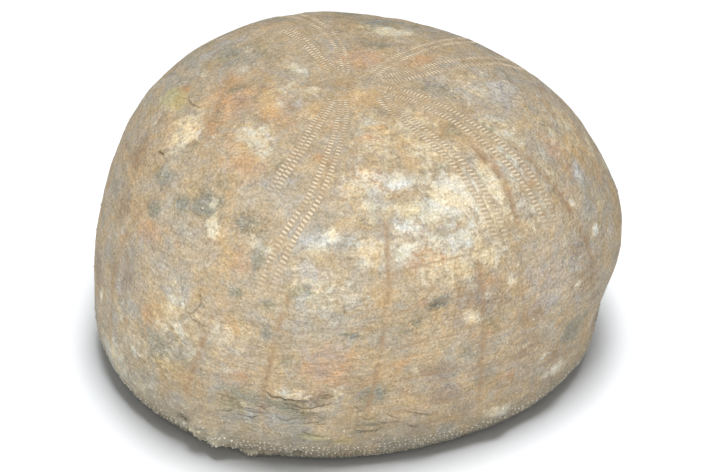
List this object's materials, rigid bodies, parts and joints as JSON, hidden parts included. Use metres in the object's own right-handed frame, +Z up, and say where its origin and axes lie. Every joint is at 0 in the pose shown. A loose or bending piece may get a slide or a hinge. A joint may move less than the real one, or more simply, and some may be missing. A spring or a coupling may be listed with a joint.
{
  "type": "fossil sea urchin",
  "caption": "Petrified shell of a large high-domed burrowing sea urchin, egg-shaped in plan with four long open petals on the dome and a flat underside to rest on.",
  "frame": {"origin": "on the flat underside, below the middle of the bounding box", "axes": "+Z up through the dome; +X towards the rear end with the vent, -X towards the front end with the groove; +Y to the urchin's right side"},
  "size_m": [0.0998, 0.088, 0.0602],
  "materials": {
    "urchin_stone": "matte weathered limestone, tan with cream, rust-orange and slate-grey staining"
  },
  "bodies": {
    "root": {"fossil_urchin": "urchin_stone"}
  },
  "joints": []
}
